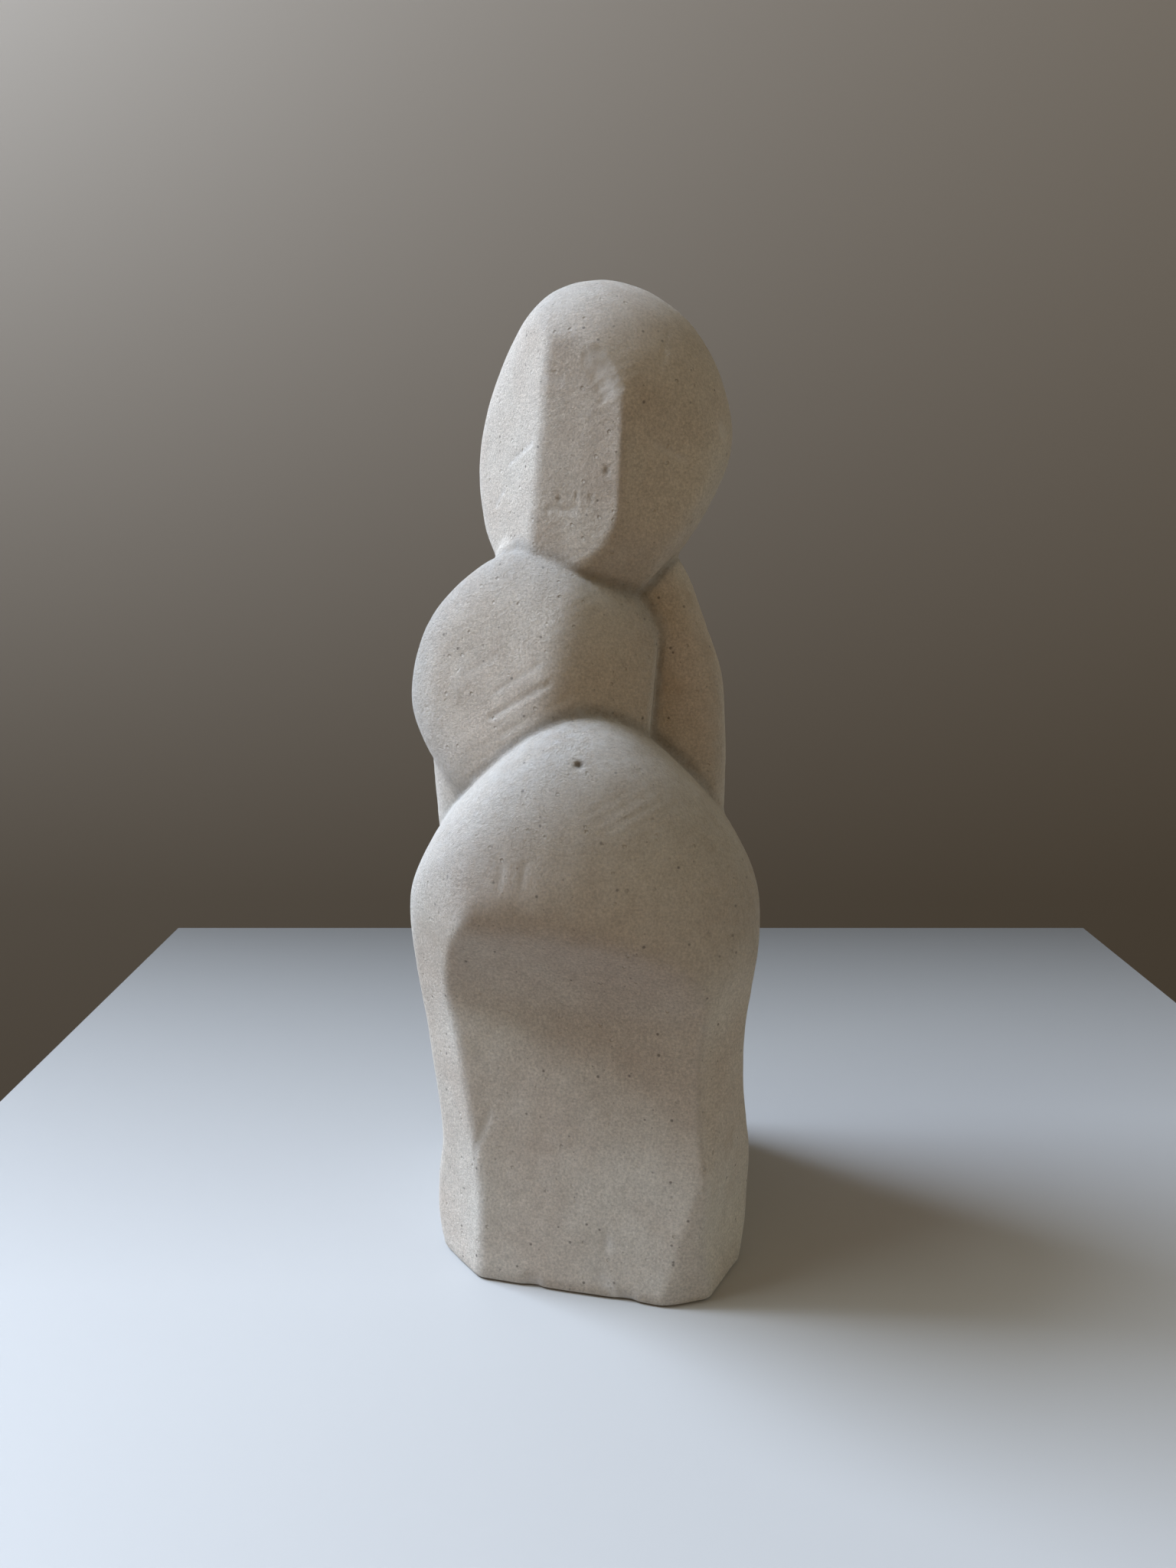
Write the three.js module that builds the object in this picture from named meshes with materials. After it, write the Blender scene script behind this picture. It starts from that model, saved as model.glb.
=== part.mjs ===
import * as THREE from 'three';

// An abstract figure group carved from one block of pale stone: a blank faceted head on a tall
// body, a rounded mass at the breast and a domed mass of knees and shins in front.
// Millimetres, +Z up, the front looks along -Y, the origin is under the middle of the underside.

// Driving sizes
const HEIGHT = 316;          // underside to crown
const HEAD_WIDTH = 86;
const HEAD_DEPTH = 78;
const HEAD_HEIGHT = 108;
const BODY_REACH = 50;       // upright axis of the body to its flanks
const BREAST_WIDTH = 88;
const BREAST_DEPTH = 54;
const BREAST_HEIGHT = 92;
const KNEE_WIDTH = 119;
const KNEE_DEPTH = 96;
const KNEE_HEIGHT = 184;     // underside to the crest of the knees
const SHIN_REACH = 60;       // upright axis of the shins to their flanks

// Levels that follow from the driving sizes
const BODY_HEIGHT = HEIGHT - HEAD_HEIGHT * 2 / 3;   // the body ends inside the head, a third of the way up
const BREAST_LEVEL = BODY_HEIGHT * 0.77;            // middle of the breast mass
const KNEE_WIDEST = KNEE_HEIGHT * 0.543;            // where the dome of the knees is widest

// Finish of the carving
const CREASE_FILLET = 1.5;       // where two masses meet
const CRISP_RIDGE_WIDTH = 2;     // softening of a clear ridge between two facets
const KNEE_RIDGE_WIDTH = 4;      // softening of the ridge where the hollow shins cut the knees
const SOFT_RIDGE_WIDTH = 7;      // softening of a rubbed ridge
const DOME_RIDGE_WIDTH = 14;     // softening of the flats on the dome of the knees
const FOOT_RADIUS = 2.2;         // round of the edge of the underside
const DOME_FULLNESS = 2.7;       // front to back, 2 is an ellipsoid and more is squarer
const BREAST_FULLNESS = 2.2;
const SKIRT_FLARE = 0.30;        // how fast the dome's outline widens below the knees, out of the shins' way
const SKIRT_REACH = 9;           // and by how much in all

// Resolution of the skin
const COLUMNS = 66;
const ROWS = 66;
const FOOT_ROWS = 2;
const SEARCH_STEP = 1.5;
const HALVINGS = 26;
const UNDERSIDE_PLATE = 0.45; // middle triangle of the underside, as a share of the shins' reach

// The masses' upright axes
const HEAD_AXIS = { x: 4, y: 8 };
const BODY_AXIS = { x: -2, y: 14 };
const BREAST_AXIS = { x: -15, y: -6 };
const KNEE_AXIS = { x: -1, y: -16 };
const SHIN_AXIS = { x: 0, y: -10 };

// Facets that run up a mass: azimuth in degrees from the front, anticlockwise seen from above being
// positive towards +X, and the reach from the axis at each level, as a share of the mass's own reach.
const BODY_LEVELS = [0, 0.10, 0.25, 0.45, 0.61, 0.72, 0.80, 0.86, 0.92, 0.98, 1.07];
const BODY_FACETS = [
  { azimuth: 0, reach: [0.60, 0.60, 0.60, 0.61, 0.62, 0.63, 0.62, 0.58, 0.52, 0.42, 0.32] },
  { azimuth: 46, reach: [0.89, 0.91, 0.91, 0.95, 1.06, 1.10, 1.04, 0.94, 0.80, 0.62, 0.44] },
  { azimuth: 90, reach: [0.98, 1.03, 1.00, 0.96, 0.95, 0.94, 0.90, 0.80, 0.70, 0.54, 0.40] },
  { azimuth: 138, reach: [1.12, 1.18, 1.14, 1.10, 1.14, 1.14, 1.06, 0.96, 0.82, 0.62, 0.44] },
  { azimuth: 180, reach: [0.86, 0.90, 0.86, 0.82, 0.88, 0.92, 0.88, 0.82, 0.72, 0.56, 0.40] },
  { azimuth: -140, reach: [1.12, 1.18, 1.14, 1.10, 1.14, 1.14, 1.06, 0.94, 0.77, 0.58, 0.42] },
  { azimuth: -92, reach: [0.94, 1.02, 0.98, 0.94, 0.98, 0.97, 0.89, 0.79, 0.62, 0.50, 0.38] },
  { azimuth: -48, reach: [0.89, 0.91, 0.91, 0.93, 0.99, 1.04, 0.98, 0.86, 0.72, 0.56, 0.42] },
];
const SHIN_LEVELS = [0, 0.055, 0.13, 0.205, 0.275, 0.36, 0.44, 0.525, 0.61, 0.67, 0.75, 0.87, 1.02];
const SHIN_FACETS = [
  { azimuth: -14, reach: [0.73, 0.71, 0.69, 0.67, 0.65, 0.63, 0.615, 0.62, 0.74, 0.88, 0.97, 1.00, 1.00] },
  { azimuth: 14, reach: [0.92, 0.93, 0.94, 0.95, 0.97, 0.98, 1.00, 1.00, 1.00, 1.00, 1.00, 1.00, 1.00] },
  { azimuth: 42, reach: [1.15, 1.15, 1.11, 1.05, 1.00, 0.97, 0.955, 0.985, 1.06, 1.12, 1.18, 1.24, 1.25] },
  { azimuth: 60, reach: [0.955, 0.94, 0.925, 0.945, 0.955, 0.96, 0.97, 1.00, 1.07, 1.15, 1.20, 1.20, 1.20] },
  { azimuth: 93, reach: [0.82, 0.865, 0.89, 0.885, 0.85, 0.812, 0.802, 0.825, 0.88, 0.915, 0.935, 0.95, 0.95] },
  { azimuth: 130, reach: [0.75, 0.76, 0.76, 0.76, 0.76, 0.76, 0.77, 0.78, 0.80, 0.81, 0.82, 0.83, 0.83] },
  { azimuth: 180, reach: [0.67, 0.67, 0.67, 0.67, 0.67, 0.67, 0.67, 0.67, 0.67, 0.67, 0.67, 0.67, 0.67] },
  { azimuth: -130, reach: [0.75, 0.76, 0.76, 0.76, 0.76, 0.76, 0.77, 0.78, 0.80, 0.81, 0.82, 0.83, 0.83] },
  { azimuth: -93, reach: [0.80, 0.845, 0.84, 0.805, 0.815, 0.855, 0.895, 0.935, 0.955, 0.965, 0.98, 0.98, 0.98] },
  { azimuth: -53, reach: [0.84, 0.825, 0.81, 0.805, 0.81, 0.825, 0.835, 0.87, 0.92, 0.96, 1, 1.02, 1.03] },
];

// Single flats cut into a rounded mass: azimuth and tilt upwards in degrees, and a point of the flat
// as shares of the mass's half width, half depth and half height from its middle.
const HEAD_FLATS = [
  { azimuth: -27, tilt: -1, at: [0.145, -0.945, -0.055], ridge: CRISP_RIDGE_WIDTH },  // left half of the front
  { azimuth: -60, tilt: 3, at: [-0.465, -0.60, -0.055], ridge: CRISP_RIDGE_WIDTH },   // left cheek
  { azimuth: 22, tilt: -3, at: [0.145, -0.945, -0.02], ridge: CRISP_RIDGE_WIDTH },    // right half of the front
  { azimuth: -90, tilt: 9.5, at: [-0.95, 0.10, 0], ridge: CRISP_RIDGE_WIDTH },        // left temple
  { azimuth: -90, tilt: -24, at: [-1.01, 0.10, -0.222], ridge: CRISP_RIDGE_WIDTH },   // left jaw
  { azimuth: -86, tilt: 28, at: [-0.705, 0.10, 0.64], ridge: SOFT_RIDGE_WIDTH },      // left of the crown
  { azimuth: 90, tilt: -31, at: [0.84, 0.10, -0.252], ridge: SOFT_RIDGE_WIDTH },      // right jaw
  { azimuth: 75, tilt: -39, at: [0.26, -0.68, -0.77], ridge: CRISP_RIDGE_WIDTH },     // right of the chin
];
const BREAST_FLATS = [
  { azimuth: -80, tilt: 50, at: [-0.575, -0.22, 0.84], ridge: SOFT_RIDGE_WIDTH },     // upper left
  { azimuth: -80, tilt: -32, at: [-0.755, -0.22, -0.61], ridge: SOFT_RIDGE_WIDTH },   // lower left
  { azimuth: -29, tilt: 11, at: [0.09, -0.975, 0.04], ridge: SOFT_RIDGE_WIDTH },      // front, left half
  { azimuth: 20, tilt: 2, at: [0.273, -0.963, 0.04], ridge: SOFT_RIDGE_WIDTH },       // front, right half
  { azimuth: 78, tilt: -4, at: [0.805, -0.50, 0], ridge: CRISP_RIDGE_WIDTH },         // right side
];
const KNEE_FLATS = [
  { azimuth: -90, tilt: 42, at: [-0.74, 0, 0.68], ridge: DOME_RIDGE_WIDTH },          // left slope
  { azimuth: 88, tilt: 43, at: [0.68, 0, 0.74], ridge: DOME_RIDGE_WIDTH },            // right slope
];

// The rays that find the skin start on a line up through the stone and turn from level to upright.
// They are closest together round the crest of the knees and round the neck.
const RAY_AXIS = { x: -1, y: -2 };
const RAY_PATH = [0, 0.2, 0.5, 0.58, 0.74, 0.86, 1];
const RAY_START = [0, 0.323, 0.516, 0.589, 0.696, 0.797, 0.82];   // shares of the height
const RAY_TURN = [0, 27, 34, 34, 35, 38, 90];                     // degrees above level

function softMax(a, b, softness) {
  const overlap = Math.max(softness - Math.abs(a - b), 0) / softness;
  return Math.max(a, b) + overlap * overlap * softness / 4;
}

function softMin(a, b, softness) {
  return -softMax(-a, -b, softness);
}

// Smooth curve through values given at rising stations.
function along(stations, values, at) {
  const last = stations.length - 1;
  let i = 0;
  while (i < last - 1 && at > stations[i + 1]) i += 1;
  const slope = (k) => {
    if (k === 0) return (values[1] - values[0]) / (stations[1] - stations[0]);
    if (k === last) return (values[last] - values[last - 1]) / (stations[last] - stations[last - 1]);
    const before = stations[k] - stations[k - 1];
    const after = stations[k + 1] - stations[k];
    const rise = (values[k + 1] - values[k]) / after * before;
    return (rise + (values[k] - values[k - 1]) / before * after) / (before + after);
  };
  const span = stations[i + 1] - stations[i];
  const t = THREE.MathUtils.clamp((at - stations[i]) / span, 0, 1);
  const step = t * t * (3 - 2 * t);
  const start = t * (1 - t) * (1 - t) * span * slope(i);
  const end = t * t * (t - 1) * span * slope(i + 1);
  return values[i] * (1 - step) + values[i + 1] * step + start + end;
}

function outward(azimuth, tilt) {
  const a = THREE.MathUtils.degToRad(azimuth);
  const t = THREE.MathUtils.degToRad(tilt);
  return new THREE.Vector3(Math.sin(a) * Math.cos(t), -Math.cos(a) * Math.cos(t), Math.sin(t));
}

// Each mass is a function of a point that is below zero inside the mass and above zero outside it.
function facetedColumn(axis, height, reach, levels, facets, ridge) {
  const sides = facets.map((facet) => ({ out: outward(facet.azimuth, 0), reach: facet.reach }));
  return (p) => {
    const level = p.z / height;
    let outside = -Infinity;
    for (const side of sides) {
      const across = (p.x - axis.x) * side.out.x + (p.y - axis.y) * side.out.y;
      const distance = across - reach * along(levels, side.reach, level);
      outside = outside === -Infinity ? distance : softMax(outside, distance, ridge);
    }
    return outside;
  };
}

function roundedMass(middle, half, fullness, flats) {
  const cuts = flats.map((flat) => ({
    out: outward(flat.azimuth, flat.tilt),
    on: new THREE.Vector3(...flat.at).multiply(half).add(middle),
    ridge: flat.ridge,
  }));
  return (p) => {
    const profile = Math.hypot((p.x - middle.x) / half.x, (p.z - middle.z) / half.z);
    const deep = Math.abs(p.y - middle.y) / half.y;
    const size = (profile ** fullness + deep ** fullness) ** (1 / fullness);
    let outside = (size - 1) * Math.min(half.x, half.y, half.z);
    for (const cut of cuts) {
      outside = softMax(outside, cut.out.dot(p) - cut.out.dot(cut.on), cut.ridge);
    }
    return outside;
  };
}

function makeHead() {
  const half = new THREE.Vector3(HEAD_WIDTH, HEAD_DEPTH, HEAD_HEIGHT).multiplyScalar(0.5);
  const middle = new THREE.Vector3(HEAD_AXIS.x, HEAD_AXIS.y, HEIGHT - half.z);
  return roundedMass(middle, half, 2, HEAD_FLATS);
}

function makeBody() {
  const column = facetedColumn(
    BODY_AXIS, BODY_HEIGHT, BODY_REACH, BODY_LEVELS, BODY_FACETS, SOFT_RIDGE_WIDTH);
  return (p) => softMax(column(p), p.z - BODY_HEIGHT, SOFT_RIDGE_WIDTH);
}

function makeBreast() {
  const half = new THREE.Vector3(BREAST_WIDTH, BREAST_DEPTH, BREAST_HEIGHT).multiplyScalar(0.5);
  const middle = new THREE.Vector3(BREAST_AXIS.x, BREAST_AXIS.y, BREAST_LEVEL);
  return roundedMass(middle, half, BREAST_FULLNESS, BREAST_FLATS);
}

// The dome of the knees runs down into the shins. Below its widest level its outline flares like a
// skirt, so that only the shins' own facets shape the stone there.
function makeKnees() {
  const half = new THREE.Vector3(KNEE_WIDTH / 2, KNEE_DEPTH / 2, KNEE_HEIGHT - KNEE_WIDEST);
  const middle = new THREE.Vector3(KNEE_AXIS.x, KNEE_AXIS.y, KNEE_WIDEST);
  const dome = roundedMass(middle, half, DOME_FULLNESS, KNEE_FLATS);
  const shins = facetedColumn(
    SHIN_AXIS, KNEE_HEIGHT, SHIN_REACH, SHIN_LEVELS, SHIN_FACETS, CRISP_RIDGE_WIDTH);
  const domePoint = new THREE.Vector3();
  return (p) => {
    domePoint.set(p.x, p.y, Math.max(p.z, KNEE_WIDEST));
    const skirt = THREE.MathUtils.clamp((KNEE_WIDEST - p.z) * SKIRT_FLARE, 0, SKIRT_REACH);
    return softMax(shins(p), dome(domePoint) - skirt, KNEE_RIDGE_WIDTH);
  };
}

// How far the skin is drawn in near the underside, so that its edge is round.
function footInset(z) {
  const below = Math.max(FOOT_RADIUS - z, 0);
  return FOOT_RADIUS - Math.sqrt(FOOT_RADIUS * FOOT_RADIUS - below * below);
}

function makeStone() {
  const masses = [makeBody(), makeBreast(), makeKnees(), makeHead()];
  return (p) => {
    const joined = masses.slice(1).reduce(
      (stone, mass) => softMin(stone, mass(p), CREASE_FILLET),
      masses[0](p),
    );
    return joined + footInset(p.z);
  };
}

function findSkin(stone, start, direction) {
  const p = new THREE.Vector3();
  const outside = (distance) => stone(p.copy(direction).multiplyScalar(distance).add(start)) > 0;
  let inner = 0;
  while (!outside(inner + SEARCH_STEP)) inner += SEARCH_STEP;
  let outer = inner + SEARCH_STEP;
  for (let i = 0; i < HALVINGS; i += 1) {
    const middle = (inner + outer) / 2;
    if (outside(middle)) outer = middle;
    else inner = middle;
  }
  return direction.clone().multiplyScalar(inner).add(start);
}

// Rows of rays from the underside to just below the crown, closer together round the foot's edge.
function rayRows() {
  const foot = [];
  for (let i = 0; i < FOOT_ROWS; i += 1) {
    const turn = (i / FOOT_ROWS) * Math.PI / 2;
    foot.push({ z: FOOT_RADIUS * (1 - Math.cos(turn)), turn: 0 });
  }
  const rest = [];
  for (let i = 0; i < ROWS; i += 1) {
    const share = FOOT_RADIUS / HEIGHT + (1 - FOOT_RADIUS / HEIGHT) * i / ROWS;
    rest.push({
      z: HEIGHT * along(RAY_PATH, RAY_START, share),
      turn: along(RAY_PATH, RAY_TURN, share),
    });
  }
  return [...foot, ...rest];
}

function makeSkin() {
  const stone = makeStone();
  const points = [];
  const triangles = [];
  const rows = rayRows();
  for (const row of rows) {
    const start = new THREE.Vector3(RAY_AXIS.x, RAY_AXIS.y, row.z);
    for (let column = 0; column < COLUMNS; column += 1) {
      const azimuth = 360 * column / COLUMNS;
      points.push(findSkin(stone, start, outward(azimuth, row.turn)));
    }
  }
  for (let row = 0; row < rows.length - 1; row += 1) {
    for (let column = 0; column < COLUMNS; column += 1) {
      const next = (column + 1) % COLUMNS;
      const a = row * COLUMNS + column;
      const b = row * COLUMNS + next;
      const c = b + COLUMNS;
      const d = a + COLUMNS;
      const offAC = Math.abs(stone(points[a].clone().lerp(points[c], 0.5)));
      const offBD = Math.abs(stone(points[b].clone().lerp(points[d], 0.5)));
      if (offAC < offBD) triangles.push(a, b, c, a, c, d);
      else triangles.push(a, b, d, b, c, d);
    }
  }
  closeCrown(stone, rows, points, triangles);
  closeUnderside(points, triangles);
  const geometry = new THREE.BufferGeometry().setFromPoints(points);
  geometry.setIndex(triangles);
  return geometry;
}

function closeCrown(stone, rows, points, triangles) {
  const top = new THREE.Vector3(RAY_AXIS.x, RAY_AXIS.y, rows[rows.length - 1].z);
  const crown = points.push(findSkin(stone, top, new THREE.Vector3(0, 0, 1))) - 1;
  const ring = crown - COLUMNS;
  for (let column = 0; column < COLUMNS; column += 1) {
    triangles.push(ring + column, ring + (column + 1) % COLUMNS, crown);
  }
}

// The underside is flat: a triangle in the middle and a band of triangles out to the foot's edge.
function closeUnderside(points, triangles) {
  const CORNERS = 3;
  const plate = SHIN_REACH * UNDERSIDE_PLATE;
  const first = points.length;
  for (let corner = 0; corner < CORNERS; corner += 1) {
    const out = outward(360 * (corner + 0.5) / CORNERS, 0).multiplyScalar(plate);
    points.push(new THREE.Vector3(RAY_AXIS.x, RAY_AXIS.y, 0).add(out));
  }
  const nearest = (column) => first + Math.floor(CORNERS * column / COLUMNS) % CORNERS;
  for (let column = 0; column < COLUMNS; column += 1) {
    const next = (column + 1) % COLUMNS;
    triangles.push(next, column, nearest(column));
    if (nearest(next) !== nearest(column)) triangles.push(next, nearest(column), nearest(next));
  }
  triangles.push(first, first + 2, first + 1);
}

// The origin goes under the middle of the finished figure's outline.
function centre(geometry) {
  geometry.computeBoundingBox();
  const middle = geometry.boundingBox.getCenter(new THREE.Vector3());
  geometry.translate(-middle.x, -middle.y, 0);
  return geometry;
}

const stoneMaterial = new THREE.MeshStandardMaterial({
  color: 0xc9c4ba,
  roughness: 0.9,
  metalness: 0,
});

const figure = new THREE.Mesh(centre(makeSkin()), stoneMaterial);
figure.name = 'figure';

const part = new THREE.Group();
part.add(figure);

export default part;
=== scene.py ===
# %% [markdown]
# # A small carved stone figure group
#
# This lesson dresses one carving: a blank faceted head, a tall body, a rounded mass at the breast and,
# in front, domed knees that run down into shins. It was cut from a single block, so it is one mesh.
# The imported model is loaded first, because it fixes the size and the place of everything else.
# Blender works in metres here. The carving itself is worked out in millimetres, which suit a carver.

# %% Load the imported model
import math

import bpy
import numpy as np
from mathutils import Matrix, Vector


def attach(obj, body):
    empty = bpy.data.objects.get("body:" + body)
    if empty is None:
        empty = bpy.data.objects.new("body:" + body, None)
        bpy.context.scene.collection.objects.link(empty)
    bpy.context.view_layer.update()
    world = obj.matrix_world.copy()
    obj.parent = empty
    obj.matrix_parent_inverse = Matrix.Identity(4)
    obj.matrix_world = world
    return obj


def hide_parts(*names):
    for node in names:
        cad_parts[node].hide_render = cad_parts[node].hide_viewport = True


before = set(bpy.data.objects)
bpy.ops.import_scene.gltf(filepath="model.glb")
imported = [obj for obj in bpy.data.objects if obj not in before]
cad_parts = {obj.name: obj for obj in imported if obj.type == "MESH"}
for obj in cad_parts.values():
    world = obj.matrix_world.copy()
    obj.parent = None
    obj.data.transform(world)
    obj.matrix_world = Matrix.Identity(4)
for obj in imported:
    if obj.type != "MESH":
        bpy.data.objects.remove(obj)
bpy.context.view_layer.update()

# %% [markdown]
# ## The driving sizes
#
# A carver starts from a few sizes on the block: how tall it is, how wide the head, the breast and the
# knees are, and how deep each of them is. The levels and the flats below are shares of these, so a
# change to one of them carries through. The axes, the rounding of the ridges and the marks are in
# millimetres and stay as they are.

# %% Driving sizes in millimetres
HEIGHT = 316.0
HEAD_SIZE = np.array([86.0, 78.0, 108.0])
BREAST_SIZE = np.array([88.0, 54.0, 92.0])
KNEE_SIZE = np.array([119.0, 96.0, 184.0])
BODY_REACH = 50.0
SHIN_REACH = 60.0
BODY_HEIGHT = HEIGHT - HEAD_SIZE[2] * 2 / 3
BREAST_LEVEL = BODY_HEIGHT * 0.77
KNEE_WIDEST = KNEE_SIZE[2] * 0.543
print("the body ends at", round(BODY_HEIGHT), "mm, inside the head")
print("the knees are widest at", round(KNEE_WIDEST), "mm")

# %% [markdown]
# ## Masses as distances
#
# Each mass is written as a function that is below zero inside the stone and above zero outside it. Two
# masses are then joined by taking the smaller of their values, and a flat is cut by taking the larger.
# This could be done with Boolean modifiers as well, but those leave razor edges. A soft maximum rounds
# each ridge by an amount that we choose, and a soft minimum fills each crease, as a riffler file does.

# %% Soft joins
def soft_max(a, b, width):
    """The larger of a and b, plus (width - |a - b|)^2 / (4 width) where they are closer than width."""
    overlap = np.maximum(width - np.abs(a - b), 0) / width
    return np.maximum(a, b) + overlap**2 * width / 4


def soft_min(a, b, width):
    """The smaller of a and b, less (width - |a - b|)^2 / (4 width) where they are closer than width."""
    return -soft_max(-a, -b, width)


def outward(azimuth, tilt=0):
    """(sin a cos t, -cos a cos t, sin t): a way given by degrees round to the right and degrees up."""
    a, t = np.radians(azimuth), np.radians(tilt)
    return np.stack([np.sin(a) * np.cos(t), -np.cos(a) * np.cos(t), np.sin(t) + 0 * a], -1)


# %% A smooth curve through measured values
def along(stations, values, at):
    """Hermite curve: t^2 (3 - 2t) blends two neighbouring values, and their slopes bend it between them."""
    slope = np.gradient(values, stations)
    i = np.clip(np.searchsorted(stations, at) - 1, 0, len(stations) - 2)
    span = stations[i + 1] - stations[i]
    t = np.clip((at - stations[i]) / span, 0, 1)
    blend = t * t * (3 - 2 * t)
    bend = t * (1 - t)**2 * slope[i] + t * t * (t - 1) * slope[i + 1]
    return values[i] * (1 - blend) + values[i + 1] * blend + span * bend


# %% [markdown]
# ## Two kinds of mass
#
# The body and the shins are columns of flats: each flat looks one way all the way up, and its distance
# from the upright axis changes with the level, so the column swells and narrows. The head, the breast
# and the top of the knees are pebbles, which are ellipsoids made a little squarer from front to back,
# with a few flats cut into them. Those flats make the ridges that catch the light.

# %% Columns and pebbles
CRISP_RIDGE = 1.5
SOFT_RIDGE = 7.0
DOME_RIDGE = 14.0


def column(p, axis, height, reach, levels, facets, ridge):
    """Soft maximum, over the flats, of (p - axis) . outward - reach * share(z / height)."""
    outside = None
    for azimuth, shares in facets:
        out = outward(azimuth)
        across = (p[..., 0] - axis[0]) * out[0] + (p[..., 1] - axis[1]) * out[1]
        distance = across - reach * along(levels, np.array(shares), p[..., 2] / height)
        outside = distance if outside is None else soft_max(outside, distance, ridge)
    return outside


def pebble(p, middle, half, fullness, flats):
    """(q - 1) * smallest half size, q^n = hypot(x, z)^n + |y|^n in half sizes; then each flat is cut."""
    share = (p - middle) / half
    profile = np.hypot(share[..., 0], share[..., 2])
    q = (profile**fullness + np.abs(share[..., 1])**fullness)**(1 / fullness)
    outside = (q - 1) * half.min()
    for azimuth, tilt, at, ridge in flats:
        out = outward(azimuth, tilt)
        outside = soft_max(outside, p @ out - out @ (middle + at * half), ridge)
    return outside


# %% [markdown]
# ## The body and the shins
#
# The back of the figure isn't seen, so it is broad and plain there. In front, the shins have one wide
# hollow flat that looks a little to the left and runs in under the knees, and a narrower one on each
# side of it. Each row below is one flat: which way it looks, and its reach at each level.

# %% The flats of the body
BODY_AXIS = (-2.0, 14.0)
BODY_LEVELS = np.array([0, 0.10, 0.25, 0.45, 0.61, 0.72, 0.80, 0.86, 0.92, 0.98, 1.07])
BODY_FACETS = [
    (0, [0.60, 0.60, 0.60, 0.61, 0.62, 0.63, 0.62, 0.58, 0.52, 0.42, 0.32]),
    (46, [0.89, 0.91, 0.91, 0.95, 1.06, 1.10, 1.04, 0.94, 0.80, 0.62, 0.44]),
    (90, [0.98, 1.03, 1.00, 0.96, 0.95, 0.94, 0.90, 0.80, 0.70, 0.54, 0.40]),
    (138, [1.12, 1.18, 1.14, 1.10, 1.14, 1.14, 1.06, 0.96, 0.82, 0.62, 0.44]),
    (180, [0.86, 0.90, 0.86, 0.82, 0.88, 0.92, 0.88, 0.82, 0.72, 0.56, 0.40]),
    (-140, [1.12, 1.18, 1.14, 1.10, 1.14, 1.14, 1.06, 0.94, 0.77, 0.58, 0.42]),
    (-92, [0.94, 1.02, 0.98, 0.94, 0.98, 0.97, 0.89, 0.79, 0.62, 0.50, 0.38]),
    (-48, [0.89, 0.91, 0.91, 0.93, 0.99, 1.04, 0.98, 0.86, 0.72, 0.56, 0.42]),
]


def body(p):
    """The column of the body, cut level at its top, which is inside the head."""
    sides = column(p, BODY_AXIS, BODY_HEIGHT, BODY_REACH, BODY_LEVELS, BODY_FACETS, SOFT_RIDGE)
    return soft_max(sides, p[..., 2] - BODY_HEIGHT, SOFT_RIDGE)


# %% The flats of the shins
SHIN_AXIS = (0.0, -10.0)
SHIN_LEVELS = np.array([0, 0.055, 0.13, 0.205, 0.275, 0.36, 0.44, 0.525, 0.61, 0.67, 0.75, 0.87, 1.02])
SHIN_FACETS = [
    (-14, [0.73, 0.71, 0.69, 0.67, 0.65, 0.63, 0.615, 0.62, 0.74, 0.88, 0.97, 1.00, 1.00]),
    (14, [0.92, 0.93, 0.94, 0.95, 0.97, 0.98, 1.00, 1.00, 1.00, 1.00, 1.00, 1.00, 1.00]),
    (42, [1.15, 1.15, 1.11, 1.05, 1.00, 0.97, 0.955, 0.985, 1.06, 1.12, 1.18, 1.24, 1.25]),
    (60, [0.955, 0.94, 0.925, 0.945, 0.955, 0.96, 0.97, 1.00, 1.07, 1.15, 1.20, 1.20, 1.20]),
    (93, [0.82, 0.865, 0.89, 0.885, 0.85, 0.812, 0.802, 0.825, 0.88, 0.915, 0.935, 0.95, 0.95]),
    (130, [0.75, 0.76, 0.76, 0.76, 0.76, 0.76, 0.77, 0.78, 0.80, 0.81, 0.82, 0.83, 0.83]),
    (180, [0.67] * 13),
    (-130, [0.75, 0.76, 0.76, 0.76, 0.76, 0.76, 0.77, 0.78, 0.80, 0.81, 0.82, 0.83, 0.83]),
    (-93, [0.80, 0.845, 0.84, 0.805, 0.815, 0.855, 0.895, 0.935, 0.955, 0.965, 0.98, 0.98, 0.98]),
    (-53, [0.84, 0.825, 0.81, 0.805, 0.81, 0.825, 0.835, 0.87, 0.92, 0.96, 1.00, 1.02, 1.03]),
]

# %% [markdown]
# ## The knees, the breast and the head
#
# The knees are a pebble above their widest level and, below it, the same outline carried straight down
# and cut by the shins' flats. The breast is a pebble with a soft ridge down its front. The head has a
# front ridge between two flats and a second ridge at the left cheek, and no face is carved on it.

# %% The knees
DOME_FULLNESS = 2.7
KNEE_AXIS = (-1.0, -16.0)
KNEE_FLATS = [
    (-90, 42, np.array([-0.74, 0, 0.68]), DOME_RIDGE),
    (88, 43, np.array([0.68, 0, 0.74]), DOME_RIDGE),
]
SKIRT_FLARE = 0.30
SKIRT_REACH = 9.0
KNEE_RIDGE = 4.0


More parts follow.
